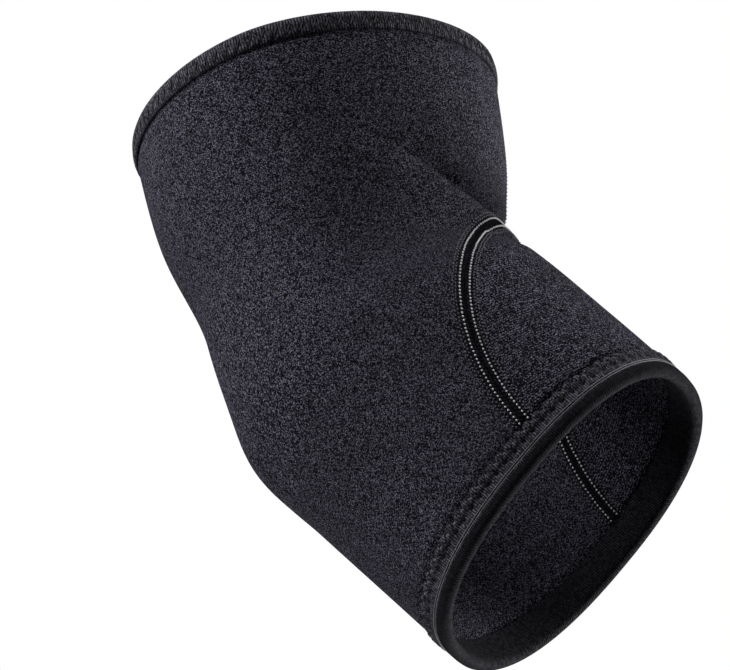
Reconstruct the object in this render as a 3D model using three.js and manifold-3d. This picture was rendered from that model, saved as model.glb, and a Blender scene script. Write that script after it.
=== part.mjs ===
// Elbow brace: a pull-on sleeve of knit-faced foam rubber that keeps the form of a bent arm.
// Millimetres. The origin is the elbow's centre, where the upper arm's and the forearm's axes cross.
// +Z runs up the upper arm and +X points to the crook, so the bend lies in the XZ plane.

import * as THREE from 'three';
import { ParametricGeometry } from 'three/addons/geometries/ParametricGeometry.js';
import { mergeVertices } from 'three/addons/utils/BufferGeometryUtils.js';
import Module from 'manifold-3d';

const wasm = await Module();
wasm.setup();

// Driving sizes of the sleeve as it is worn
const UPPER_REACH = 84;
const FOREARM_REACH = 80.5;
const BEND_DEGREES = 33.7;
const UPPER_RIM_WIDTH = 117;
const ELBOW_WIDTH = 100;
const FOREARM_RIM_WIDTH = 96;

// The bend's radius at the arm's axis, a little over half the elbow, so the crook isn't pinched shut
const BEND_RADIUS = 0.58 * ELBOW_WIDTH;

// The foam sheet, the tape over its raw edges, and the space between two pieces
const WALL = 3;
const TAPE = 0.8;
const GAP = 0.3;
const PRESSED = 0.7;
const EASE = 4;
const UPPER_BINDING_WIDTH = 6;
const FOREARM_BINDING_WIDTH = 10.5;

// The insert on the forearm's inner side, an arch that stands on the forearm rim
const PANEL_LENGTH = 75;
const PANEL_FOOT_WIDTH = 134;

// How far the folds stand in or out
const CREASE_DEPTH = 2.5;
const CROOK_CUSHION = 1.5;
const BICEPS_FLAT = 4;
const ELBOW_POINT = 2;

// Fineness of the facets
const STEPS_AROUND = 48;
const STEPS_ALONG = 30;
const CROOK_CROWDING = 0.5;
const PANEL_EDGE_STEPS = 96;
const CUTTER_RINGS = [ 0, 0.25, 0.5, 0.75, 1 ];
const FOLD_STEPS = 5;

const DEGREE = Math.PI / 180;
const BEND = BEND_DEGREES * DEGREE;
const TANGENT = BEND_RADIUS * Math.tan(BEND / 2);
const UPPER_RUN = UPPER_REACH - TANGENT;
const BEND_RUN = BEND_RADIUS * BEND;
const FOREARM_RUN = FOREARM_REACH - TANGENT;
const LENGTH = UPPER_RUN + BEND_RUN + FOREARM_RUN;

// Sections, evenly spaced from the upper rim to the forearm rim. front, back and side are the
// distances from the arm's axis, as shares of the width; square is 2 on an ellipse, more on a box.
const SECTIONS = [
	{ width: UPPER_RIM_WIDTH, front: 0.46, back: 0.485, side: 0.51, square: 1.85 },
	{ width: UPPER_RIM_WIDTH, front: 0.43, back: 0.472, side: 0.468, square: 1.95 },
	{ width: ELBOW_WIDTH, front: 0.479, back: 0.483, side: 0.498, square: 1.9 },
	{ width: ELBOW_WIDTH, front: 0.515, back: 0.498, side: 0.51, square: 2 },
	{ width: FOREARM_RIM_WIDTH, front: 0.528, back: 0.531, side: 0.51, square: 2.05 },
	{ width: FOREARM_RIM_WIDTH, front: 0.509, back: 0.543, side: 0.49, square: 2.35 },
];

// Broad swellings. along and reach are shares of the length, angle and spread degrees around the
// arm, with 0 at the crook and 180 at the elbow's point.
const SWELLINGS = [
	{ height: ELBOW_POINT, along: 0.54, reach: 0.045, angle: 180, spread: 50 },
	{ height: CROOK_CUSHION, along: 0.46, reach: 0.08, angle: 0, spread: 42 },
];

// The crook's fold, a line that climbs towards the upper rim as it runs out round the arm
const FOLD = { along: 0.328, climb: 0.036, spread: 37 };

// The dents along the fold: the flat where the biceps lies against it, and the crease itself. after
// is how far past the fold each is deepest, above and below its reach on either side of that. firm
// is 1 for a dent that fades evenly round the arm and more for one that ends more abruptly.
const FOLD_DENTS = [
	{ depth: BICEPS_FLAT, after: 0, above: 0.1, below: 0.04, spread: 40, firm: 1 },
	{ depth: CREASE_DEPTH, after: 0.003, above: 0.02, below: 0.014, spread: 48, firm: 2 },
];

// A share of the way along the arm for a distance from a rim, in from the upper one or the forearm's
const fromUpperRim = ( distance ) => distance / LENGTH;
const fromForearmRim = ( distance ) => 1 - distance / LENGTH;

const bell = ( x ) => Math.exp( - x * x );

// The signed angle in degrees from one direction round the arm to another, between -180 and 180
const turnBetween = ( from, to ) => THREE.MathUtils.euclideanModulo( to - from + 180, 360 ) - 180;

// The sections' value at a share of the length, on a smooth curve through the table's rows
function sectionAt( share, measure ) {

	const last = SECTIONS.length - 1;
	const along = THREE.MathUtils.clamp( share, 0, 1 ) * last;
	const row = Math.min( Math.floor( along ), last - 1 );
	const t = along - row;
	const b = measure( SECTIONS[ row ] );
	const c = measure( SECTIONS[ row + 1 ] );
	const a = row > 0 ? measure( SECTIONS[ row - 1 ] ) : 2 * b - c;
	const d = row + 2 <= last ? measure( SECTIONS[ row + 2 ] ) : 2 * c - b;
	const slope = ( c - a ) / 2;
	const bow = a - 2.5 * b + 2 * c - d / 2;
	const twist = 1.5 * ( b - c ) + ( d - a ) / 2;
	return b + t * ( slope + t * ( bow + t * twist ) );

}

// How far the folds lift the outer face at a share of the length and an angle in degrees
function relief( share, degrees ) {

	let height = 0;
	for ( const swelling of SWELLINGS ) {

		const off = turnBetween( swelling.angle, degrees ) / swelling.spread;
		height += swelling.height * bell( ( share - swelling.along ) / swelling.reach ) * bell( off );

	}

	const fromCrook = turnBetween( 0, degrees );
	const climbed = FOLD.climb * ( fromCrook / FOLD.spread ) ** 2;
	for ( const dent of FOLD_DENTS ) {

		const past = share - FOLD.along + climbed - dent.after;
		const reach = past < 0 ? dent.above : dent.below;
		const round = Math.abs( fromCrook / dent.spread ) ** dent.firm;
		height -= dent.depth * bell( past / reach ) * bell( round );

	}

	return height;

}

// The point at a share of the length, an angle round the arm and a height over the outer face.
// Past either rim the sleeve's form runs straight on.
function place( share, angle, height, target ) {

	const cos = Math.cos( angle );
	const sin = Math.sin( angle );
	const reach = sectionAt( share, ( s ) => s.width * ( cos > 0 ? s.front : s.back ) );
	const side = sectionAt( share, ( s ) => s.width * s.side );
	const power = sectionAt( share, ( s ) => s.square );
	const ellipse = Math.pow( Math.abs( cos ) / reach, power ) + Math.pow( Math.abs( sin ) / side, power );
	const radius = Math.pow( ellipse, - 1 / power ) + relief( share, angle / DEGREE ) + height;

	const run = share * LENGTH;
	const turn = THREE.MathUtils.clamp( ( run - UPPER_RUN ) / BEND_RADIUS, 0, BEND );
	const above = Math.max( 0, UPPER_RUN - run );
	const below = Math.max( 0, run - UPPER_RUN - BEND_RUN );
	const outwards = BEND_RADIUS - radius * cos;
	return target.set(
		BEND_RADIUS - outwards * Math.cos( turn ) + below * Math.sin( BEND ),
		radius * sin,
		TANGENT - outwards * Math.sin( turn ) + above - below * Math.cos( BEND )
	);

}

// A surface's shared vertices are merged, and it becomes a solid that can be cut.
function toSolid( geometry ) {

	geometry.deleteAttribute( 'normal' );
	geometry.deleteAttribute( 'uv' );
	const merged = mergeVertices( geometry );
	return new wasm.Manifold( new wasm.Mesh( {
		numProp: 3,
		vertProperties: merged.attributes.position.array,
		triVerts: new Uint32Array( merged.index.array ),
	} ) );

}

// A closed profile of { share, height } points, carried once round the arm
function ringOf( profile ) {

	return toSolid( new ParametricGeometry( ( s, t, target ) => {

		const point = profile[ Math.round( s * profile.length ) % profile.length ];
		const step = Math.round( t * STEPS_AROUND ) % STEPS_AROUND;
		return place( point.share, 2 * Math.PI * step / STEPS_AROUND, point.height, target );

	}, profile.length, STEPS_AROUND ) );

}

// The foam tube from raw edge to raw edge, pressed thinner where the tape is sewn over it
function foamTube() {

	const edge = WALL / 2 - PRESSED + GAP + TAPE;
	const rim = ( bindingWidth, toShare ) => [
		{ share: toShare( edge ), press: PRESSED },
		{ share: toShare( bindingWidth + GAP ), press: PRESSED },
		{ share: toShare( bindingWidth + EASE / 2 ), press: PRESSED / 3 },
	];
	const stations = rim( UPPER_BINDING_WIDTH, fromUpperRim );
	const first = fromUpperRim( UPPER_BINDING_WIDTH + EASE );
	const last = fromForearmRim( FOREARM_BINDING_WIDTH + EASE );
	for ( let i = 0; i <= STEPS_ALONG; i ++ ) {

		const t = i / STEPS_ALONG;
		const crowded = t + CROOK_CROWDING * Math.sin( 2 * Math.PI * t ) / ( 2 * Math.PI );
		stations.push( { share: THREE.MathUtils.lerp( first, last, crowded ), press: 0 } );

	}

	stations.push( ...rim( FOREARM_BINDING_WIDTH, fromForearmRim ).reverse() );
	const outside = stations.map( ( { share, press } ) => ( { share, height: - press } ) );
	const inside = stations.map( ( { share, press } ) => ( { share, height: press - WALL } ) );
	return ringOf( [ ...outside, ...inside.reverse() ] );

}

// The tape folded over a rim: two legs along the foam's faces and a round fold past its edge
function binding( width, toShare ) {

	const middle = - WALL / 2;
	const inner = WALL / 2 - PRESSED + GAP;
	const outer = inner + TAPE;
	const points = [];
	const face = ( radius, side ) => {

		points.push( { share: toShare( width ), height: middle + side * radius } );
		for ( let i = 0; i <= FOLD_STEPS; i ++ ) {

			const a = side * Math.PI * ( 0.5 - i / FOLD_STEPS );
			const distance = outer - radius * Math.cos( a );
			points.push( { share: toShare( distance ), height: middle + radius * Math.sin( a ) } );

		}

		points.push( { share: toShare( width ), height: middle - side * radius } );

	};

	face( outer, 1 );
	face( inner, - 1 );
	return ringOf( toShare === fromUpperRim ? points.reverse() : points );

}

// The share of the length at a distance up the outer face from the forearm rim. The bend draws
// that face together in the crook and spreads it at the elbow's point.
function shareUpFrom( distance, angle ) {

	const drawn = 1 - ELBOW_WIDTH / 2 * Math.cos( angle ) / BEND_RADIUS;
	const straight = Math.min( distance, FOREARM_RUN );
	const bent = THREE.MathUtils.clamp( ( distance - straight ) / drawn, 0, BEND_RUN );
	const above = Math.max( 0, distance - straight - bent * drawn );
	return 1 - ( straight + bent + above ) / LENGTH;

}

// The insert's outline and its mirror image past the rim make one ellipse on the unrolled sleeve.
// The cutter is that ellipse, made larger by a margin in millimetres, from inside the sheet's inner
// face to outside its outer one.
function panelCutter( margin ) {

	const halfAngle = PANEL_FOOT_WIDTH / FOREARM_RIM_WIDTH;
	const near = new THREE.Vector3();
	const far = new THREE.Vector3();
	const ahead = new THREE.Vector3();
	const onEllipse = ( turn, size, height, target ) => {

		const angle = size * halfAngle * Math.sin( turn );
		const share = shareUpFrom( size * PANEL_LENGTH * Math.cos( turn ), angle );
		return place( share, angle, height, target );

	};

	// The growth that moves the outline by the margin, measured square to it on the bent sleeve
	const grown = ( turn ) => {

		const nudge = 1e-3;
		onEllipse( turn, 1, 0, near );
		onEllipse( turn, 1 + nudge, 0, far ).sub( near );
		onEllipse( turn + nudge, 1, 0, ahead ).sub( near ).normalize();
		far.addScaledVector( ahead, - far.dot( ahead ) );
		return 1 + margin * nudge / far.length();

	};

	const under = CUTTER_RINGS.map( ( size ) => ( { size, height: - 2 * WALL } ) );
	const over = CUTTER_RINGS.map( ( size ) => ( { size, height: WALL } ) );
	const profile = [ ...under, ...over.reverse() ];
	const spans = profile.length - 1;
	return toSolid( new ParametricGeometry( ( s, t, target ) => {

		const { size, height } = profile[ Math.round( s * spans ) ];
		const step = Math.round( t * PANEL_EDGE_STEPS ) % PANEL_EDGE_STEPS;
		const turn = 2 * Math.PI * step / PANEL_EDGE_STEPS;
		return onEllipse( turn, size * grown( turn ), height, target );

	}, spans, PANEL_EDGE_STEPS ) );

}

// A named mesh of a finished solid in its cloth
function piece( name, solid, { color, roughness } ) {

	const { vertProperties, triVerts } = solid.getMesh();
	const geometry = new THREE.BufferGeometry();
	geometry.setAttribute( 'position', new THREE.BufferAttribute( vertProperties, 3 ) );
	geometry.setIndex( new THREE.BufferAttribute( triVerts, 1 ) );
	geometry.computeVertexNormals();
	const material = new THREE.MeshStandardMaterial( { color, roughness, metalness: 0 } );
	const mesh = new THREE.Mesh( geometry, material );
	mesh.name = name;
	return mesh;

}

const KNIT = { color: 0x2c2b32, roughness: 0.95 };
const BINDING = { color: 0x1c1b20, roughness: 0.85 };

const tube = foamTube();
const body = tube.subtract( panelCutter( GAP / 2 ) );
const panel = tube.intersect( panelCutter( - GAP / 2 ) );
const upperBinding = binding( UPPER_BINDING_WIDTH, fromUpperRim );
const forearmBinding = binding( FOREARM_BINDING_WIDTH, fromForearmRim );

const brace = new THREE.Group();
brace.add( piece( 'sleeve_body', body, KNIT ) );
brace.add( piece( 'crook_panel', panel, KNIT ) );
brace.add( piece( 'upper_arm_binding', upperBinding, BINDING ) );
brace.add( piece( 'forearm_binding', forearmBinding, BINDING ) );

export default brace;
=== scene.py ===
import math
import bpy
import numpy as np
from mathutils import Matrix


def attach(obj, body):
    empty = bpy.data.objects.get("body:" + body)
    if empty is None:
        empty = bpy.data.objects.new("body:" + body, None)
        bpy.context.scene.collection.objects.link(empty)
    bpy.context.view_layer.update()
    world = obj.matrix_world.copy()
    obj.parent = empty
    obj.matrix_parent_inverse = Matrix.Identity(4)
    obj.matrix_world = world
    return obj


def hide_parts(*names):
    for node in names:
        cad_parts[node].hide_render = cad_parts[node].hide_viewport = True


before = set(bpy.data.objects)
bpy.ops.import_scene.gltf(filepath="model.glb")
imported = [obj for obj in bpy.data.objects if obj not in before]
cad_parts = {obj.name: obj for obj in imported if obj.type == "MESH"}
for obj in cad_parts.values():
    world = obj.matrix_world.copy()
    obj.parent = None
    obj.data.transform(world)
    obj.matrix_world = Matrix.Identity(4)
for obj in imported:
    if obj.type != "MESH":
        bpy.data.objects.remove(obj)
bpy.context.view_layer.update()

# Sleeve body
# The main tube is 3 mm foam rubber with a knit on both faces, closed by one flat seam and worn
# bent. Its raw edges lie under the tapes and butt against the crook panel.
UPPER_REACH = 0.084
FOREARM_REACH = 0.0805
UPPER_RIM_WIDTH = 0.117
ELBOW_WIDTH = 0.1
FOREARM_RIM_WIDTH = 0.096
BEND = math.radians(33.7)
BEND_RADIUS = 0.058
TANGENT = BEND_RADIUS * math.tan(BEND / 2)
UPPER_RUN = UPPER_REACH - TANGENT
BEND_RUN = BEND_RADIUS * BEND
FOREARM_RUN = FOREARM_REACH - TANGENT
LENGTH = UPPER_RUN + BEND_RUN + FOREARM_RUN
WALL = 0.003
PRESSED = 0.0007
EDGE = 0.0019
EASE = 0.0017
UPPER_BINDING_WIDTH = 0.006
FOREARM_BINDING_WIDTH = 0.0105
ARCH_HEIGHT = 0.075
ARCH_FOOT = 0.134
ARCH_ANGLE = ARCH_FOOT / FOREARM_RIM_WIDTH
FOLD_SHARE = 0.328
FOLD_CLIMB = 0.036
FOLD_SPREAD = 37
CREASE_DEPTH = 0.003
CREASE_AFTER = 0.003
CROOK_CUSHION = 0.0015
CUSHION_SHARE = 0.46
FLAT_DEPTH = 0.004
ELBOW_POINT = 0.002
POINT_SHARE = 0.54
CLOSING_ANGLE = math.radians(25)
SEAM_GAP = 0.00015
SEAM_DIP = 0.00055
SEAM_HALF_WIDTH = 0.0034
KNIT_DARK = (0.0035, 0.0033, 0.005, 1)
KNIT_LIGHT = (0.39, 0.37, 0.48, 1)
WALE = 0.52
COURSE = 0.25
RIB_TURN = math.radians(90)
CLOTH_RADIUS = 0.051
NUDGE = 1e-4

# Widths and shares of them from the tube's axis to the front, back and side, evenly spaced from the
# upper rim to the forearm rim; square is 2 on an ellipse and more on a box. A fitting program stepped
# the shares and squares to bring the outline near the photograph's, and two side shares were then
# changed.
RIM_TO_RIM = (UPPER_RIM_WIDTH, ELBOW_WIDTH, FOREARM_RIM_WIDTH)
WIDTH = tuple(width for width in RIM_TO_RIM for _ in range(2))
FRONT = (0.46, 0.43, 0.479, 0.515, 0.528, 0.509)
BACK = (0.485, 0.472, 0.483, 0.498, 0.531, 0.543)
SIDE = (0.51, 0.468, 0.498, 0.51, 0.51, 0.49)
SQUARE = (1.85, 1.95, 1.9, 2, 2.05, 2.35)


def through(values, share):
    """The smooth curve through evenly spaced values: a cubic between each two, with the slope at
    each value that of the line between its neighbours."""
    v = np.array([2 * values[0] - values[1], *values, 2 * values[-1] - values[-2]])
    along = np.clip(share, 0, 1) * (len(values) - 1)
    row = np.minimum(along.astype(int), len(values) - 2)
    t = along - row
    a, b, c, d = v[row], v[row + 1], v[row + 2], v[row + 3]
    return b + t * ((c - a) / 2 + t * (a - 2.5 * b + 2 * c - d / 2 + t * (1.5 * (b - c) + (d - a) / 2)))


def bell(x):
    """A bell curve, 1 at 0 and near 0 past 2 either way."""
    return np.exp(-x * x)


def rise(x):
    """A smooth step from 0 at 0 to 1 at 1."""
    x = np.clip(x, 0, 1)
    return x * x * (3 - 2 * x)


def around(angle):
    """The angle brought between half a turn back and half a turn on; 0 is the crook."""
    return (angle + math.pi) % (2 * math.pi) - math.pi


def crook_line(angle):
    """Share at which the crook's fold runs: it climbs towards the upper rim either way round."""
    off = np.degrees(around(angle)) / FOLD_SPREAD
    return FOLD_SHARE - FOLD_CLIMB * off * off


def folds(share, angle):
    """Height of the dents and swellings, each its depth times a bell curve along the tube and one
    round it: the point at the elbow, the flat above the crook's fold, the crease along that fold,
    which is steeper on its lower side, and the cushion of cloth that stands under it."""
    deg = np.degrees(around(angle))
    back = np.degrees(around(angle + math.pi))
    past = share - crook_line(angle)
    flat = bell(past / np.where(past < 0, 0.1, 0.04)) * bell(deg / 40)
    deepest = past - CREASE_AFTER
    crease = bell((deg / 48) ** 2) * bell(deepest / np.where(deepest < 0, 0.016, 0.011))
    cushion = bell(deg / 42) * bell((share - CUSHION_SHARE) / 0.08)
    point = bell(back / 50) * bell((share - POINT_SHARE) / 0.045)
    return ELBOW_POINT * point - FLAT_DEPTH * flat - CREASE_DEPTH * crease + CROOK_CUSHION * cushion


def form(share, angle, height):
    """The point at a share of the length, an angle round the tube and a height over the knit's
    outer face: a rounded section, carried down a straight run, an arc and a straight run."""
    cos, sin = np.cos(angle), np.sin(angle)
    power = through(SQUARE, share)
    reach = through(WIDTH, share) * np.where(cos > 0, through(FRONT, share), through(BACK, share))
    side = through(WIDTH, share) * through(SIDE, share)
    radius = ((np.abs(cos) / reach) ** power + (np.abs(sin) / side) ** power) ** (-1 / power)
    radius = radius + folds(share, angle) + height
    run = share * LENGTH
    turn = np.clip((run - UPPER_RUN) / BEND_RADIUS, 0, BEND)
    above = np.maximum(0, UPPER_RUN - run)
    below = np.maximum(0, run - UPPER_RUN - BEND_RUN)
    out = BEND_RADIUS - radius * cos
    return np.stack([
        BEND_RADIUS - out * np.cos(turn) + below * math.sin(BEND),
        radius * sin,
        TANGENT - out * np.sin(turn) + above - below * math.cos(BEND),
    ], -1)


def dot(a, b):
    """Products of vectors, row by row."""
    return (a * b).sum(-1)


def unit(v):
    """Vectors brought to length 1."""
    return v / np.maximum(np.linalg.norm(v, axis=-1, keepdims=True), 1e-12)


def slopes(surface, share, angle, height=0.0):
    """How a surface's point moves for each unit of share and each unit of angle."""
    more, less = share + NUDGE, share - NUDGE
    by_share = (surface(more, angle, height) - surface(less, angle, height)) / (2 * NUDGE)
    more, less = angle + NUDGE, angle - NUDGE
    by_angle = (surface(share, more, height) - surface(share, less, height)) / (2 * NUDGE)
    return by_share, by_angle


def up_from_rim(share, angle):
    """Distance up the outer face from the forearm rim: the run along the axis, but in the bend the
    face is drawn together in the crook and spread opposite it, by its distance from the axis."""
    run = (1 - share) * LENGTH
    drawn = 1 - ELBOW_WIDTH / 2 * np.cos(angle) / BEND_RADIUS
    bent = np.clip(run - FOREARM_RUN, 0, BEND_RUN)
    return np.minimum(run, FOREARM_RUN) + bent * drawn + np.maximum(0, run - FOREARM_RUN - BEND_RUN)


def share_up_from(distance, angle):
    """The share at a distance up the outer face, the other way round."""
    drawn = 1 - ELBOW_WIDTH / 2 * np.cos(angle) / BEND_RADIUS
    straight = np.minimum(distance, FOREARM_RUN)
    bent = np.clip((distance - straight) / drawn, 0, BEND_RUN)
    return 1 - (straight + bent + np.maximum(0, distance - straight - bent * drawn)) / LENGTH


def arch_size(share, angle):
    """1 on the arch seam, less inside it and more outside: how large half an ellipse through the
    point is, laid out flat, against the arch."""
    return np.hypot(up_from_rim(share, angle) / ARCH_HEIGHT, around(angle) / ARCH_ANGLE)


def from_arch(share, angle):
    """Distance outwards from the arch seam: how far the point's own ellipse is from the arch's,
    divided by how fast that changes along the surface."""
    size = arch_size(share, angle)
    s = (arch_size(share + NUDGE, angle) - arch_size(share - NUDGE, angle)) / (2 * NUDGE)
    a = (arch_size(share, angle + NUDGE) - arch_size(share, angle - NUDGE)) / (2 * NUDGE)
    by_share, by_angle = slopes(form, share, angle)
    ss, sa, aa = dot(by_share, by_share), dot(by_share, by_angle), dot(by_angle, by_angle)
    steepness = np.sqrt(np.maximum((s * s * aa - 2 * s * a * sa + a * a * ss) / (ss * aa - sa * sa), 1e-9))
    return (size - 1) / steepness


def from_closing(share, angle):
    """Distance sideways from the closing seam, which runs straight down from the upper rim to the
    arch; past the arch it counts as far away."""
    _, by_angle = slopes(form, share, angle)
    sideways = around(angle - CLOSING_ANGLE) * np.linalg.norm(by_angle, axis=-1)
    return np.where(arch_size(share, angle) > 1, sideways, 0.1)


def seam_dip(share, angle):
    """How far in a seam's channel a point is: 1 over its flat bottom, 0 away from any seam."""
    arch = np.exp(-(from_arch(share, angle) / SEAM_HALF_WIDTH) ** 4)
    return np.maximum(arch, np.exp(-(from_closing(share, angle) / SEAM_HALF_WIDTH) ** 4))


def painted_shade_of(share, angle):
    """Painted shade for each spot of the knit, by how deep in a crease it lies: 1 in the seams' channels,
    0.8 in the hollow above the crook's fold, which fades towards the upper rim and ends just past the
    fold, and down to -0.8, a painted highlight, on the lit edge of cloth under it."""
    past = share - crook_line(angle)
    crook = bell((np.degrees(around(angle)) / 50) ** 2)
    # Painted shade in the hollow above the fold, and below 0 a painted highlight on the edge under it.
    hollow = (1 - rise((past - 0.006) / 0.006)) * bell(np.minimum(past, 0) / 0.075)
    edge = bell((past - 0.022) / 0.016)
    return np.maximum(seam_dip(share, angle), crook * (0.8 * hollow - 0.8 * edge))


def place(share, angle, height=0.0):
    """The form with its seams drawn in: a shallow flat-bottomed channel along each seam."""
    return form(share, angle, height - SEAM_DIP * seam_dip(share, angle))


def press(share):
    """How far each face of the sheet is pressed in under the tape sewn over its edge: all of it up
    to the tape's width from a rim, and from there a smooth step to nothing."""
    upper = 1 - rise((share * LENGTH - UPPER_BINDING_WIDTH) / EASE)
    lower = 1 - rise(((1 - share) * LENGTH - FOREARM_BINDING_WIDTH) / EASE)
    return PRESSED * np.maximum(upper, lower)


def arch_share(angle, margin):
    """Where the arch, grown by a margin, crosses a line at an angle round the tube: the height of
    half an ellipse there."""
    y = around(angle) / (ARCH_ANGLE + margin / (FOREARM_RIM_WIDTH / 2))
    distance = (ARCH_HEIGHT + margin) * np.sqrt(np.clip(1 - y * y, 0, 1))
    return np.minimum(share_up_from(distance, angle), 1 - EDGE / LENGTH)


def sheet_mesh(name, over, under, uv, shade, closed):
    """A closed sheet between two grids of points of one shape: the upper face, the lower face
    turned over, and a strip along each open edge. The grid's columns may close on themselves.
    shade is the painted shade of each point of the grid, by how deep in a crease it lies."""
    rows, columns = over.shape[:2]
    steps = columns if closed else columns - 1
    i, j = np.meshgrid(np.arange(rows - 1), np.arange(steps), indexing="ij")
    i, j = i.ravel(), j.ravel()
    flat = rows * columns
    ring = ((0, 0), (1, 0), (1, 1), (0, 1))

    def corner(a, b, face):
        return face * flat + a * columns + b % columns

    top = np.stack([corner(i + a, j + b, 0) for a, b in ring], 1)
    at = np.stack([np.stack([i + a, j + b], 1) for a, b in ring], 1)
    faces, places = [top, top[:, ::-1] + flat], [at, at[:, ::-1]]
    j = np.arange(steps)
    for row, turn in ((0, 1), (rows - 1, -1)):
        strip = np.stack([corner(row, j + k, face) for k, face in ring], 1)
        spot = np.stack([np.stack([j * 0 + row, j + k], 1) for k, _ in ring], 1)
        faces.append(strip[:, ::turn])
        places.append(spot[:, ::turn])
    if not closed:
        i = np.arange(rows - 1)
        for column, turn in ((0, -1), (columns - 1, 1)):
            strip = np.stack([corner(i + k, column, face) for k, face in ring], 1)
            spot = np.stack([np.stack([i + k, i * 0 + column], 1) for k, _ in ring], 1)
            faces.append(strip[:, ::turn])
            places.append(spot[:, ::turn])
    quads, places = np.concatenate(faces), np.concatenate(places)
    points = np.concatenate([over.reshape(-1, 3), under.reshape(-1, 3)])
    return lay_mesh(name, points, quads, uv[places[..., 0], places[..., 1]], np.tile(shade.ravel(), 2))


def lay_mesh(name, points, faces, uv, shade=None):
    """An object of points and four-cornered faces, with a UV for each face's corner and, where it
    is given, painted shade for each point by how deep in a crease it lies, below 0 a painted highlight."""
    mesh = bpy.data.meshes.new(name)
    mesh.vertices.add(len(points))
    mesh.vertices.foreach_set("co", points.astype(np.float32).ravel())
    mesh.loops.add(faces.size)
    mesh.loops.foreach_set("vertex_index", faces.astype(np.int32).ravel())
    mesh.polygons.add(len(faces))
    mesh.polygons.foreach_set("loop_start", np.arange(0, faces.size, 4, dtype=np.int32))
    mesh.update(calc_edges=True)
    layer = mesh.uv_layers.new(name="cloth")
    layer.uv.foreach_set("vector", uv.astype(np.float32).ravel())
    if shade is not None:
        # The crease attribute holds painted shade, and below 0 a painted highlight.
        crease = mesh.attributes.new("crease", "FLOAT", "POINT")
        crease.data.foreach_set("value", shade.astype(np.float32).ravel())
    mesh.shade_smooth()
    mesh.set_sharp_from_angle(angle=math.radians(50))
    piece = bpy.data.objects.new(name, mesh)
    bpy.context.collection.objects.link(piece)
    return piece


def node(tree, kind, at, **inputs):
    """A shader node with its inputs set by name; a tuple of (node, output) makes a link."""
    made = tree.nodes.new("ShaderNode" + kind)
    made.location = (at * 180, 0)
    for key, value in inputs.items():
        key = key.replace("_", " ")
        socket = made.inputs[int(key[1:]) if key[0] == "i" and key[1:].isdigit() else key]
        if isinstance(value, tuple) and len(value) == 2 and isinstance(value[0], bpy.types.Node):
            tree.links.new(value[0].outputs[value[1]], socket)
        else:
            socket.default_value = value
    return made


def math_node(tree, operation, at, a, b=0.0):
    """A math node of two inputs."""
    made = tree.nodes.new("ShaderNodeMath")
    made.operation = operation
    made.location = (at * 180, -200)
    for socket, value in zip(made.inputs, (a, b)):
        if isinstance(value, tuple):
            tree.links.new(value[0].outputs[value[1]], socket)
        else:
            socket.default_value = value
    return made


def fabric(tree, tone, bump, dark, light, depth, roughness):
    """The end of a cloth's material: a colour between dark and light by its tone, which is times 1
    less 0.8 of the crease, so painted shade darkens it in a crease and a painted highlight lightens it
    on a lit edge, and raised by its bump."""
    # The crease attribute carries painted shade, and below 0 a painted highlight, into the colour.
    crease = node(tree, "Attribute", 12)
    crease.attribute_name = "crease"
    painted_light = math_node(tree, "SUBTRACT", 13, 1.0, (math_node(tree, "MULTIPLY", 12, (crease, "Fac"), 0.8), 0))
    lit = math_node(tree, "MULTIPLY", 14, (tone, 0), (painted_light, 0))
    lit.use_clamp = True
    colour = tree.nodes.new("ShaderNodeMix")
    colour.data_type = "RGBA"
    tree.links.new(lit.outputs[0], colour.inputs[0])
    colour.inputs[6].default_value = dark
    colour.inputs[7].default_value = light
    raised = node(tree, "Bump", 15, Strength=0.8, Distance=depth, Height=(bump, 0))
    cover = node(tree, "BsdfPrincipled", 16, Normal=(raised, "Normal"), Roughness=roughness)
    cover.inputs["Specular IOR Level"].default_value = 0.06
    tree.links.new(colour.outputs[2], cover.inputs["Base Color"])
    out = node(tree, "OutputMaterial", 17)
    tree.links.new(cover.outputs[0], out.inputs["Surface"])


def cloth_tree(name):
    """An empty material, its node tree, and the cloth's own map as a node."""
    material = bpy.data.materials.new(name)
    material.use_nodes = True
    tree = material.node_tree
    tree.nodes.clear()
    cloth = node(tree, "UVMap", 0)
    cloth.uv_map = "cloth"
    return material, tree, cloth


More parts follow.
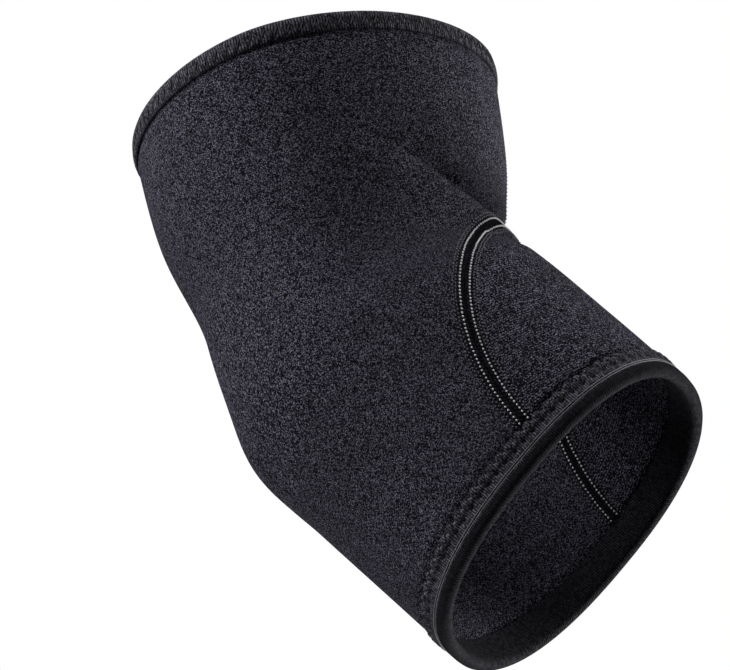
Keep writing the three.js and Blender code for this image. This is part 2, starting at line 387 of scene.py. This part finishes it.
def knit(name, slant, wale, grain, dark, light):
    """Jersey knit, drawn on the cloth's own map in millimetres: wales of small V-shaped stitches,
    each leg of its own grey, a random value to a high power, so most are dark and a few bright, with
    mottling over them. slant turns the wales and grain is how clearly each stands out."""
    wobble_size, vee_height, fleck_power = 0.7, 0.7, 4.2
    material, tree, cloth = cloth_tree(name)
    turned = node(tree, "Mapping", 1, Vector=(cloth, "UV"), Rotation=(0, 0, slant), Scale=(1000, 1000, 1))
    wobble = node(tree, "TexNoise", 2, Vector=(turned, "Vector"), Scale=0.35, Detail=1.0)
    shift = math_node(tree, "MULTIPLY", 3, (wobble, "Fac"), wobble_size)
    apart = node(tree, "SeparateXYZ", 2, Vector=(turned, "Vector"))
    legs = math_node(tree, "DIVIDE", 4, (math_node(tree, "ADD", 3, (apart, "X"), (shift, 0)), 0), wale / 2)
    leg = math_node(tree, "FLOOR", 5, (legs, 0))
    across = math_node(tree, "FRACT", 5, (legs, 0))
    wave = math_node(tree, "PINGPONG", 5, (legs, 0), 1.0)
    courses = math_node(tree, "DIVIDE", 4, (math_node(tree, "ADD", 3, (apart, "Y"), (shift, 0)), 0), COURSE)
    rising = math_node(tree, "MULTIPLY", 6, (wave, 0), vee_height)
    vee = math_node(tree, "ADD", 6, (courses, 0), (rising, 0))
    row = math_node(tree, "FLOOR", 7, (vee, 0))
    down = math_node(tree, "FRACT", 7, (vee, 0))
    bow = math_node(tree, "SINE", 9, (math_node(tree, "MULTIPLY", 8, (down, 0), math.pi), 0))
    swell = math_node(tree, "SINE", 9, (math_node(tree, "MULTIPLY", 8, (across, 0), math.pi), 0))
    bump = math_node(tree, "MULTIPLY", 10, (bow, 0), (swell, 0))
    cell = node(tree, "CombineXYZ", 8, X=(leg, 0), Y=(row, 0))
    grey = node(tree, "TexWhiteNoise", 9, Vector=(cell, 0))
    grey.noise_dimensions = "2D"
    fleck = math_node(tree, "POWER", 10, (grey, "Value"), fleck_power)
    lined = math_node(tree, "ADD", 8, (math_node(tree, "MULTIPLY", 7, (wave, 0), grain), 0), 1 - grain / 2)
    fleck = math_node(tree, "MULTIPLY", 11, (fleck, 0), (lined, 0))
    # The grey follows each stitch's bump, lighter on its crown and darker at its edges: painted shade
    # between the stitches.
    rounded = math_node(tree, "ADD", 11, (math_node(tree, "MULTIPLY", 10, (bump, 0), 0.7), 0), 0.3)
    mottle = node(tree, "TexNoise", 10, Vector=(turned, "Vector"), Scale=0.25, Detail=2.0, Roughness=0.5)
    cloudy = math_node(tree, "ADD", 11, (math_node(tree, "MULTIPLY", 10, (mottle, "Fac"), 0.35), 0), 0.83)
    stitch = math_node(tree, "MULTIPLY", 11, (fleck, 0), (rounded, 0))
    tone = math_node(tree, "MULTIPLY", 12, (stitch, 0), (cloudy, 0))
    fabric(tree, tone, bump, dark, light, 0.00012, 0.95)
    return material


def finish_piece(piece, material, slot, *nodes):
    """Gives a piece its material and lets it ride on the sleeve in place of CAD nodes; slot is not used."""
    piece.data.materials.append(material)
    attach(piece, "root")
    if nodes:
        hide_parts(*nodes)
    return piece


def body_sheet(rows, columns):
    """The body's points: columns run down from the upper raw edge to the arch or the forearm's raw
    edge, and close up where the arch turns steep."""
    wide = ARCH_ANGLE + SEAM_GAP / (FOREARM_RIM_WIDTH / 2)
    start = math.asin(CLOSING_ANGLE / wide)
    inside, outside = columns
    first = wide * np.sin(np.linspace(start, math.pi / 2, inside // 2, endpoint=False))
    second = np.linspace(wide, 2 * math.pi - wide, outside, endpoint=False)
    third = 2 * math.pi + wide * np.sin(np.linspace(-math.pi / 2, start, inside // 2, endpoint=False))
    angle = np.concatenate([first, second, third])
    down = np.linspace(0, 1, rows)[:, None]
    top = EDGE / LENGTH
    end = arch_share(angle, SEAM_GAP)
    share = top + (end - top) * down
    angles = np.broadcast_to(angle, share.shape)
    over = place(share, angles, -press(share))
    under = place(share, angles, press(share) - WALL)
    last = np.concatenate([angle, [angle[0] + 2 * math.pi]])
    shares = np.concatenate([share, share[:, :1]], 1)
    uv = np.stack([np.broadcast_to(last * CLOTH_RADIUS, shares.shape), shares * LENGTH], -1)
    return over, under, uv, painted_shade_of(share, angles)


body_knit = sheet_mesh("body_knit", *body_sheet(140, (150, 150)), True)
sleeve_knit = knit("sleeve_knit", RIB_TURN, WALE, 0.7, KNIT_DARK, KNIT_LIGHT)
finish_piece(body_knit, sleeve_knit, "sleeve_knit", "sleeve_body")

# Crook panel
# An arched insert of the same knit-faced foam, its rib nearly crosswise and clearer than the body's.
# It stands on the forearm rim and is sewn edge to edge to the body, so that the bend doesn't bunch.
PANEL_SLANT = math.radians(82)
PANEL_WALE = 0.8


def panel_sheet(rows, columns):
    """The panel's points: columns run down from the arch to the forearm's raw edge, crowded to
    either foot, where the arch turns steep."""
    wide = ARCH_ANGLE - SEAM_GAP / (FOREARM_RIM_WIDTH / 2)
    steepest = math.acos(EDGE * 1.5 / ARCH_HEIGHT)
    angle = wide * np.sin(np.linspace(-steepest, steepest, columns))
    end = 1 - EDGE / LENGTH
    start = arch_share(angle, -SEAM_GAP)
    share = start + (end - start) * np.linspace(0, 1, rows)[:, None]
    angles = np.broadcast_to(angle, share.shape)
    over = place(share, angles, -press(share))
    under = place(share, angles, press(share) - WALL)
    uv = np.stack([angles * CLOTH_RADIUS, share * LENGTH], -1)
    return over, under, uv, painted_shade_of(share, angles)


panel = sheet_mesh("panel_knit", *panel_sheet(100, 170), False)
panel_knit = knit("panel_knit", PANEL_SLANT, PANEL_WALE, 1.9, KNIT_DARK, KNIT_LIGHT)
finish_piece(panel, panel_knit, "panel_knit", "crook_panel")

# Rim tapes
# Each rim is bound with a knit tape, finely ribbed across, folded over the raw edge of the foam
# and sewn through all layers. The forearm's is the wider one.
TAPE = 0.0008
TAPE_MIDDLE = -WALL / 2
TAPE_INNER = WALL / 2 - PRESSED + 0.0003
TAPE_OUTER = TAPE_INNER + TAPE
TAPE_DARK = (0.0035, 0.0035, 0.0048, 1)
TAPE_LIGHT = (0.2, 0.196, 0.235, 1)
RIB_PITCH = 0.0008
UPPER_VEES, UPPER_RADIUS, UPPER_NEAR, UPPER_FAR = 98, 0.0575, 0.0018, 0.0052
FOREARM_VEES, FOREARM_RADIUS, FOREARM_NEAR, FOREARM_FAR = 79, 0.049, 0.0069, 0.0101
ROLL_EDGE = 0.0041
# Painted shade on the tapes' inner legs.
INSIDE_SHADE = 0.95
TAPE_MAP_RADIUS = 0.054


def tape_profile(width, radius, legs, fold):
    """A tape's profile as distances from the rim's tip and heights over the knit: a straight leg
    up the outside, half a circle round the raw edge, and a coarser leg back up the inside."""
    out = np.linspace(width, TAPE_OUTER, legs, endpoint=False)
    back = np.linspace(TAPE_OUTER, width, legs // 4)
    turn = np.linspace(0, math.pi, fold)[:-1]
    distance = np.concatenate([out, TAPE_OUTER - radius * np.sin(turn), back])
    height = np.concatenate([out * 0 + radius, radius * np.cos(turn), back * 0 - radius])
    return distance, TAPE_MIDDLE + height


def beside_zigzag(distance, angle, vees, radius, near, far):
    """For a spot on a tape: its distance from the zigzag's thread, from the nearest point on the
    rim's side and from the nearest one on the body's side."""
    half = math.pi * radius / vees
    part = (angle - CLOSING_ANGLE) * vees / math.pi % 2
    level = near + (far - near) * (1 - np.abs(1 - part))
    from_thread = np.abs(distance - level) * half / math.hypot(half, far - near)
    near_point = np.hypot(distance - near, ((part + 1) % 2 - 1) * half)
    far_point = np.hypot(distance - far, (part - 1) * half)
    return from_thread, near_point, far_point


def upper_relief(distance, angle):
    """Height that the zigzag gives the upper tape's outer face, how far it draws the tape's edge
    towards the rim, and the spot's painted shade: dark in the groove along the tape's edge and at
    the zigzag's points on the body's side."""
    thread, near, far = beside_zigzag(distance, angle, UPPER_VEES, UPPER_RADIUS, UPPER_NEAR, UPPER_FAR)
    edge = bell((distance - UPPER_BINDING_WIDTH) / 0.00045)
    crease = bell(thread / 0.0003)
    height = 0.00012 - 0.0002 * crease - 0.0002 * bell(far / 0.0007) - 0.00035 * edge
    # The third value is painted shade in the edge's groove and at the body-side points.
    return height, 0.0002 * bell(far / 0.0012), np.maximum(0.85 * edge, bell(far / 0.0006))


def forearm_relief(distance, angle):
    """The same for the forearm's tape: a smooth roll along the rim behind a groove, and cloth that
    puffs up between the zigzag's legs and is scalloped along the body's side. Its painted shade is
    near black on the roll and dark in the needle holes, along the thread and in the edge's groove."""
    thread, near, far = beside_zigzag(
        distance, angle, FOREARM_VEES, FOREARM_RADIUS, FOREARM_NEAR, FOREARM_FAR)
    edge = bell((distance - FOREARM_BINDING_WIDTH) / 0.0005)
    crease = bell(thread / 0.0003) * rise((distance - FOREARM_NEAR + 0.0006) / 0.0006)
    puff = rise((distance - FOREARM_NEAR) / 0.0012) * (1 - crease)
    roll = 1 - rise((distance - ROLL_EDGE + 0.0008) / 0.0008)
    height = 0.00012 * roll - 0.0001 * bell((distance - ROLL_EDGE) / 0.0004) + 0.0005 * puff
    height = height - 0.0005 * bell(near / 0.0006) - 0.00045 * bell(far / 0.0008) - 0.0005 * edge
    # Painted shade: near black over the roll, dark in the needle holes, the creases along the thread and
    # the edge's groove.
    dark = np.maximum(np.maximum(0.95 * edge, bell(near / 0.0006)), np.maximum(1.1 * roll, 0.9 * crease))
    return height, 0.0009 * bell(far / 0.0011), dark


def tape(name, width, at_upper_rim, relief, legs, columns):
    """A folded tape round a rim: its profile carried round, its outer leg raised and drawn in by
    the stitches through it, and painted shade laid over its inner leg."""
    faces = []
    angle = np.linspace(0, 2 * math.pi, columns, endpoint=False) + CLOSING_ANGLE
    for radius in (TAPE_OUTER, TAPE_INNER):
        distance, height = tape_profile(width, radius, legs, 10)
        if at_upper_rim:
            distance, height = distance[::-1], height[::-1]
        away, angles = np.meshgrid(distance, angle, indexing="ij")
        outside = (height > TAPE_MIDDLE)[:, None]
        lift, drawn, dark = relief(away, angles)
        lift, drawn = np.where(outside, lift, 0), np.where(outside, drawn, 0)
        # The inner leg gets painted shade; the outer leg's painted shade comes from its relief.
        dark = np.where(outside, dark, INSIDE_SHADE)
        away = away - drawn
        share = away / LENGTH if at_upper_rim else 1 - away / LENGTH
        if radius == TAPE_OUTER:
            shade = dark
            heights = height[:, None] + lift
        else:
            heights = height[:, None] + np.minimum(lift, 0) * 0.6
        faces.append(form(share, angles, heights))
    step = np.linalg.norm(np.diff(faces[0][:, 0], axis=0), axis=-1)
    up = np.concatenate([[0], np.cumsum(step)])
    side = np.linspace(0, 2 * math.pi * TAPE_MAP_RADIUS, columns + 1)
    uv = np.stack(np.broadcast_arrays(side[None, :], up[:, None]), -1)
    return sheet_mesh(name, faces[0], faces[1], uv, shade, True)


def ribbed(name, dark, light):
    """Ribbed tape: fine ribs across it, each half a sine wave, broken into single stitches that are
    each a random grey, darkened towards the gaps between ribs as painted shade."""
    material, tree, cloth = cloth_tree(name)
    sized = node(tree, "Mapping", 1, Vector=(cloth, "UV"), Scale=(1000, 1000, 1))
    apart = node(tree, "SeparateXYZ", 2, Vector=(sized, "Vector"))
    bend = node(tree, "TexNoise", 2, Vector=(sized, "Vector"), Scale=0.5, Detail=1.0)
    bent = math_node(tree, "ADD", 3, (apart, "X"), (math_node(tree, "MULTIPLY", 3, (bend, "Fac"), 0.9), 0))
    ribs = math_node(tree, "DIVIDE", 4, (bent, 0), RIB_PITCH * 1000)
    across = math_node(tree, "FRACT", 5, (ribs, 0))
    wave = math_node(tree, "SINE", 6, (math_node(tree, "MULTIPLY", 5, (across, 0), math.pi), 0))
    rib = math_node(tree, "FLOOR", 5, (ribs, 0))
    stitch = math_node(tree, "FLOOR", 5, (math_node(tree, "DIVIDE", 4, (apart, "Y"), 0.55), 0))
    cell = node(tree, "CombineXYZ", 6, X=(rib, 0), Y=(stitch, 0))
    grey = node(tree, "TexWhiteNoise", 7, Vector=(cell, 0))
    grey.noise_dimensions = "2D"
    # The grey follows each rib's wave, darkest in the gaps between ribs: painted shade.
    painted_rib_shade = math_node(tree, "POWER", 8, (wave, 0), 1.6)
    uneven = math_node(tree, "ADD", 8, (math_node(tree, "MULTIPLY", 7, (grey, "Value"), 0.75), 0), 0.1)
    tone = math_node(tree, "MULTIPLY", 9, (painted_rib_shade, 0), (uneven, 0))
    fabric(tree, tone, wave, dark, light, 0.0002, 0.85)
    return material


binding_tape = ribbed("binding_tape", TAPE_DARK, TAPE_LIGHT)
upper_tape = tape("upper_arm_tape", UPPER_BINDING_WIDTH, True, upper_relief, 16, 1200)
finish_piece(upper_tape, binding_tape, "binding_tape", "upper_arm_binding")
forearm_tape = tape("forearm_tape", FOREARM_BINDING_WIDTH, False, forearm_relief, 26, 1080)
finish_piece(forearm_tape, binding_tape, "binding_tape", "forearm_binding")

# Flat seams
# Body and panel are joined edge to edge by a four-needle flat seam: two rows of off-white thread,
# with dark threads that cross between the outer rows, on both faces. The closing seam is the same.
STITCH = 0.00128
PALE_OFFSET = 0.0014
PALE_HALF = 0.0002
PALE_LEAN = 0.00007
PALE_UNEVEN = 0.00006
PALE_STAGGER = 0.0001
CROSS_OFFSET = 0.002
OUTER_OFFSET = 0.0031
DOT_HALF = 0.00012
DOT_LEAN = 0.00014
DOT_UNEVEN = 0.0001
ARCH_STEPS = 1200
CLOSING_STEPS = 300
CLOSING_START = 0.0002
BEAD = np.array([0.00014, 0.00025, 0.00029, 0.00025, 0.00014])
CROSS_THICKNESS = 0.00009
PALE_THREAD = (0.86, 0.86, 0.87, 1), (0.72, 0.72, 0.74, 1)
DARK_THREAD = (0.005, 0.005, 0.007, 1), (0.01, 0.01, 0.013, 1)
GREY_THREAD = (0.12, 0.12, 0.135, 1), (0.26, 0.26, 0.28, 1)


def trace(share, angle):
    """A line on the sleeve for threads to follow: the length up to each of its points, the points,
    the directions square to it in the surface, and the share and angle of each."""
    here = place(share, angle)
    along = np.concatenate([[0], np.cumsum(np.linalg.norm(np.diff(here, axis=0), axis=-1))])
    even = np.linspace(0, along[-1], len(along))
    share, angle = np.interp(even, along, share), np.interp(even, along, angle)
    here = place(share, angle)
    by_share, by_angle = slopes(place, share, angle)
    side = np.cross(unit(np.cross(by_share, by_angle)), unit(np.gradient(here, axis=0)))
    ease = np.hanning(25)[1:-1, None]
    padded = np.pad(side, ((11, 11), (0, 0)), mode="edge")
    side = sum(padded[k:k + len(side)] * ease[k] for k in range(23))
    return even, here, unit(side), share, angle


def beside(line, along, offset, height):
    """Points at a length along a line, an offset to its left and a height over the knit: a first
    guess is moved over the form, step by step, to where it lies straight under that spot."""
    length, points, sides, shares, angles = line
    shape = np.broadcast_shapes(np.shape(along), np.shape(offset), np.shape(height))
    along, offset = np.broadcast_to(along, shape), np.broadcast_to(offset, shape)
    pick = [np.interp(along, length, column) for column in (*points.T, *sides.T, shares, angles)]
    target = np.stack(pick[0:3], -1) + offset[..., None] * np.stack(pick[3:6], -1)
    share, angle = pick[6], pick[7]
    for _ in range(6):
        miss = target - form(share, angle, 0.0)
        by_share, by_angle = slopes(form, share, angle)
        ss, sa, aa = dot(by_share, by_share), dot(by_share, by_angle), dot(by_angle, by_angle)
        ms, ma = dot(miss, by_share), dot(miss, by_angle)
        area = ss * aa - sa * sa
        share = share + np.clip((ms * aa - ma * sa) / area, -0.02, 0.02)
        angle = angle + np.clip((ma * ss - ms * sa) / area, -0.05, 0.05)
    here = place(share, angle, height)
    return here, unit(form(share, angle, 0.001) - form(share, angle, 0.0))


def strands(name, paths, outwards, thickness, sides):
    """Short lengths of thread as one mesh. paths holds each strand's points in a row; a ring round
    each point has its thickness, and the rings at both ends are drawn together to a point."""
    count, points = paths.shape[:2]
    tangent = unit(np.gradient(paths, axis=1))
    across = unit(np.cross(outwards, tangent))
    out = np.cross(tangent, across)
    turn = 2 * math.pi * np.arange(sides) / sides
    ring = across[:, :, None] * np.cos(turn)[:, None] + out[:, :, None] * np.sin(turn)[:, None]
    thickness = np.broadcast_to(thickness, (count, points))
    surface = paths[:, :, None] + ring * thickness[..., None, None]
    p, q = np.meshgrid(np.arange(points - 1), np.arange(sides), indexing="ij")
    p, q, r = p.ravel(), q.ravel(), (q.ravel() + 1) % sides
    quads = np.stack([p * sides + q, p * sides + r, (p + 1) * sides + r, (p + 1) * sides + q], 1)
    half = np.arange(sides // 2 - 1)
    caps = np.stack([half * 0, half * 2 + 3, half * 2 + 2, half * 2 + 1], 1)
    last = (points - 1) * sides
    quads = np.concatenate([quads, caps, caps[:, ::-1] + last])
    faces = (quads[None] + (np.arange(count) * points * sides)[:, None, None]).reshape(-1, 4)
    uv = np.stack([faces % sides / sides, faces // sides / points], -1) * 0.01
    return lay_mesh(name, surface.reshape(-1, 3), faces, uv)


def thread(name, colour, light, gloss):
    """Twisted sewing thread: a fine noise mixes its two tones and raises it unevenly, and it has
    some gloss."""
    material = bpy.data.materials.new(name)
    material.use_nodes = True
    tree = material.node_tree
    tree.nodes.clear()
    spot = node(tree, "TexCoord", 0)
    twist = node(tree, "TexNoise", 1, Vector=(spot, "Object"), Scale=2500.0, Detail=2.0)
    colours = tree.nodes.new("ShaderNodeMix")
    colours.data_type = "RGBA"
    tree.links.new(twist.outputs[0], colours.inputs[0])
    colours.inputs[6].default_value = colour
    colours.inputs[7].default_value = light
    raised = node(tree, "Bump", 3, Strength=0.3, Distance=0.00005, Height=(twist, 0))
    cover = node(tree, "BsdfPrincipled", 4, Normal=(raised, "Normal"), Roughness=0.5)
    cover.inputs["Specular IOR Level"].default_value = gloss
    tree.links.new(colours.outputs[2], cover.inputs["Base Color"])
    out = node(tree, "OutputMaterial", 5)
    tree.links.new(cover.outputs[0], out.inputs["Surface"])
    return material


def seam_threads(line, start, end, face, seed):
    """The paths of one seam on one face: pale stitches in two rows, and dark threads that cross
    from one outer row to the other, where each shows again as two small dots of grey."""
    chance = np.random.default_rng(seed)
    count = int((end - start) / STITCH)
    at = start + (np.arange(count) + 0.5) * STITCH
    base = 0.0 if face > 0 else -WALL
    t = np.linspace(-1, 1, 5)
    pale, pale_out = [], []
    for row in (-1, 1):
        shift = chance.uniform(-PALE_UNEVEN, PALE_UNEVEN, (count, 1))
        along = at[:, None] + t * PALE_HALF + shift + row * PALE_STAGGER
        sideways = chance.uniform(-PALE_UNEVEN, PALE_UNEVEN, (count, 1))
        offset = row * PALE_OFFSET + t * PALE_LEAN + sideways
        lift = base + face * (0.00012 + 0.00022 * (1 - t * t))
        points, out = beside(line, along, offset, lift)
        pale.append(points)
        pale_out.append(face * out)
    t = np.linspace(-1, 1, 15)
    along = at[:, None] + 0.5 * STITCH + t * STITCH * 0.55
    offset = np.broadcast_to(t * CROSS_OFFSET, along.shape)
    sunk = bell((np.abs(offset) - PALE_OFFSET) / 0.0004)
    lift = base + face * (0.00016 - 0.00014 * sunk - 0.00016 * t ** 8)
    crossing, crossing_out = beside(line, along, offset, lift)
    t = np.linspace(-1, 1, 5)
    dots, dots_out = [], []
    for row in (-1, 1):
        for step_out, step_on in ((-0.0005, 0.0), (0.0003, 0.5 * STITCH)):
            jitter = chance.uniform(-DOT_UNEVEN, DOT_UNEVEN, (2, count, 1))
            along = at[:, None] + step_on + t * DOT_HALF + jitter[0]
            offset = row * (OUTER_OFFSET + step_out) + t * DOT_LEAN + jitter[1]
            points, out = beside(line, along, offset, base + face * (0.0001 + 0.00012 * (1 - t * t)))
            dots.append(points)
            dots_out.append(face * out)
    return (
        (np.concatenate(pale), np.concatenate(pale_out)),
        (crossing, face * crossing_out),
        (np.concatenate(dots), np.concatenate(dots_out)),
    )


arch_turn = np.linspace(-math.pi / 2, math.pi / 2, ARCH_STEPS)
arch_angles = ARCH_ANGLE * np.sin(arch_turn)
arch_line = trace(share_up_from(ARCH_HEIGHT * np.cos(arch_turn), arch_angles), arch_angles)
first_leg = slice(0, ARCH_STEPS // 2)
covered = np.interp(FOREARM_BINDING_WIDTH / LENGTH, 1 - arch_line[3][first_leg], arch_line[0][first_leg])
arch_span = (covered, arch_line[0][-1] - covered)
apex = float(arch_share(np.array([CLOSING_ANGLE]), 0.0)[0])
closing_share = np.linspace(UPPER_BINDING_WIDTH / LENGTH, apex, CLOSING_STEPS)
closing_line = trace(closing_share, np.full(CLOSING_STEPS, CLOSING_ANGLE))
closing_span = (CLOSING_START, closing_line[0][-1] - SEAM_HALF_WIDTH)

seams = []
for line, span, seed in ((arch_line, arch_span, 3), (closing_line, closing_span, 5)):
    for face in (1, -1):
        seams.append(seam_threads(line, *span, face, seed))
pale, crossing, dots = zip(*seams)


def joined(parts):
    """Several sets of strands, with their outward directions, as one."""
    return np.concatenate([p[0] for p in parts]), np.concatenate([p[1] for p in parts])


seam_thread = thread("seam_thread", *PALE_THREAD, 0.35)
dark_thread = thread("dark_thread", *DARK_THREAD, 0.08)
pale_rows = strands("seam_pale_rows", *joined(pale), BEAD, 8)
finish_piece(pale_rows, seam_thread, "seam_thread")
cross_rows = strands("seam_cross_threads", *joined(crossing), CROSS_THICKNESS, 6)
finish_piece(cross_rows, dark_thread, "dark_thread")
outer_dots = strands("seam_outer_dots", *joined(dots), BEAD * 0.7, 6)
grey_thread = thread("grey_thread", *GREY_THREAD, 0.2)
finish_piece(outer_dots, grey_thread, "dark_thread")

# Zigzag rows
# Both tapes are sewn down by a zigzag of dark thread. On the forearm's, the stitch that runs up to
# each point on the body's side is drawn in grey thread as a painted highlight, and two straight rows
# of finer thread hold the rolled edge.
# Only the outer faces carry them here.
THREAD_LIFT = 0.00008
LEG_BOW = 0.00016
ROLL_STEPS = 1500
ROLL_LIFT = 0.0001
ROLL_THICKNESS = 0.00008
ZIGZAG_THICKNESS = np.array([0.00008, 0.00017, 0.00019, 0.0002, 0.00019, 0.00017, 0.00008])
ZIGZAG_THREAD = (0.03, 0.03, 0.036, 1), (0.08, 0.08, 0.09, 1)
ROLL_THREAD = (0.22, 0.22, 0.24, 1), (0.42, 0.42, 0.44, 1)


def on_tape(distance, angle, lift, at_upper_rim, relief):
    """Points at a height over a tape's outer face, and the way straight out from there."""
    height, drawn, _ = relief(distance, angle)
    away = (distance - drawn) / LENGTH
    share = away if at_upper_rim else 1 - away
    base = TAPE_MIDDLE + TAPE_OUTER + height + lift
    points = form(share, angle, base)
    return points, unit(form(share, angle, base + 0.001) - points)


def zigzag(vees, near, far, stitches, at_upper_rim, relief):
    """A zigzag round a rim: each leg of a V is so many stitches, each drawn in at both its ends."""
    count = 2 * vees * stitches
    along = np.linspace(0.05, 0.95, 7)
    legs = (np.arange(count)[:, None] + along) / stitches
    distance = near + (far - near) * (1 - np.abs(1 - legs % 2))
    angle = CLOSING_ANGLE + legs * math.pi / vees
    lift = THREAD_LIFT + LEG_BOW * np.sin(math.pi * along)
    return on_tape(distance, angle, lift, at_upper_rim, relief)


zigzag_thread = thread("zigzag_thread", *ZIGZAG_THREAD, 0.1)
upper_rows = zigzag(UPPER_VEES, UPPER_NEAR, UPPER_FAR, 1, True, upper_relief)
upper_zigzag = strands("upper_zigzag", *upper_rows, ZIGZAG_THICKNESS, 6)
finish_piece(upper_zigzag, zigzag_thread, "dark_thread")
forearm_rows = zigzag(FOREARM_VEES, FOREARM_NEAR, FOREARM_FAR, 2, False, forearm_relief)
# Every fourth stitch, the one rising to the body's side, takes the lighter grey thread: a painted
# highlight.
painted_highlight = np.arange(4 * FOREARM_VEES) % 4 == 1
dark_rows, painted_highlight_rows = [[part[pick] for part in forearm_rows] for pick in (~painted_highlight, painted_highlight)]
forearm_zigzag = strands("forearm_zigzag", *dark_rows, ZIGZAG_THICKNESS * 0.9, 6)
finish_piece(forearm_zigzag, zigzag_thread, "dark_thread")
forearm_highlight_strokes = strands("forearm_zigzag_highlights", *painted_highlight_rows, ZIGZAG_THICKNESS * 0.8, 6)
finish_piece(forearm_highlight_strokes, grey_thread, "dark_thread")

roll_angle = np.linspace(0, 2 * math.pi, ROLL_STEPS) + CLOSING_ANGLE
roll_distance = np.array([[ROLL_EDGE - 0.00005], [ROLL_EDGE + 0.0006]]) + 0 * roll_angle
roll_turns = np.broadcast_to(roll_angle, roll_distance.shape)
roll_paths = on_tape(roll_distance, roll_turns, ROLL_LIFT, False, forearm_relief)
roll_rows = strands("forearm_roll_rows", *roll_paths, ROLL_THICKNESS, 6)
roll_thread = thread("roll_thread", *ROLL_THREAD, 0.2)
finish_piece(roll_rows, roll_thread, "dark_thread")

# Studio
# A white surround with no floor, as the photograph is cut out: four soft lights graze the sleeve
# from beside it, and the camera stands where the outline meets the photograph's.
PHOTO_WIDTH = 730
FOCAL_PIXELS = 4000
SENSOR_WIDTH = 36
DISTANCE = 1.155
SHIFT_RIGHT = -0.00462
SHIFT_UP = 0.00693
ROLL, TILT, SWING = math.radians(14.0), math.radians(-24.1), math.radians(-14.0)
LIGHT_SIZE = 0.5
WARM, COOL = (1, 0.99, 0.97), (0.97, 0.98, 1)

scene = bpy.context.scene
turned = (
    Matrix.Rotation(ROLL, 3, "Z")
    @ Matrix.Rotation(TILT, 3, "X")
    @ Matrix.Rotation(SWING, 3, "Y")
    @ Matrix(((1, 0, 0), (0, 0, 1), (0, -1, 0)))
)
right, up, back = turned
camera_data = bpy.data.cameras.new("camera")
camera_data.sensor_width = SENSOR_WIDTH
camera_data.lens = FOCAL_PIXELS / PHOTO_WIDTH * SENSOR_WIDTH
camera_data.clip_start = 0.01
camera_data.clip_end = 50
camera = bpy.data.objects.new("camera", camera_data)
bpy.context.collection.objects.link(camera)
spot = DISTANCE * back + SHIFT_RIGHT * right + SHIFT_UP * up
camera.matrix_world = Matrix.Translation(spot) @ turned.transposed().to_4x4()
scene.camera = camera

world = bpy.data.worlds.new("surround")
scene.world = world
world.use_nodes = True
tree = world.node_tree
tree.nodes.clear()
seen = node(tree, "LightPath", 0)
white = node(tree, "Background", 1, Color=(1, 1, 1, 1), Strength=1.0)
soft = node(tree, "Background", 1, Color=(0.95, 0.96, 1, 1), Strength=0.09)
blend = node(tree, "MixShader", 2)
tree.links.new(seen.outputs["Is Camera Ray"], blend.inputs[0])
tree.links.new(soft.outputs[0], blend.inputs[1])
tree.links.new(white.outputs[0], blend.inputs[2])
surround = node(tree, "OutputWorld", 3)
tree.links.new(blend.outputs[0], surround.inputs["Surface"])


def soft_light(name, side, size, watts, tint):
    """A square soft light at a place given by the camera's right, up and back, facing the sleeve."""
    data = bpy.data.lights.new(name, "AREA")
    data.shape = "SQUARE"
    data.size = size
    data.energy = watts
    data.color = tint
    light = bpy.data.objects.new(name, data)
    place_at = side[0] * right + side[1] * up + side[2] * back
    aim = (-place_at).to_track_quat("-Z", "Y").to_matrix().to_4x4()
    light.matrix_world = Matrix.Translation(place_at) @ aim
    bpy.context.collection.objects.link(light)


soft_light("low right", (0.64, -0.76, -0.1), LIGHT_SIZE, 13, WARM)
soft_light("right", (1.1, 0.1, -0.1), LIGHT_SIZE, 11, WARM)
soft_light("upper left", (-0.66, 0.86, 0.05), LIGHT_SIZE, 13, COOL)
soft_light("left", (-1.0, -0.4, 0.0), LIGHT_SIZE, 6, COOL)
scene.view_settings.view_transform = "Standard"
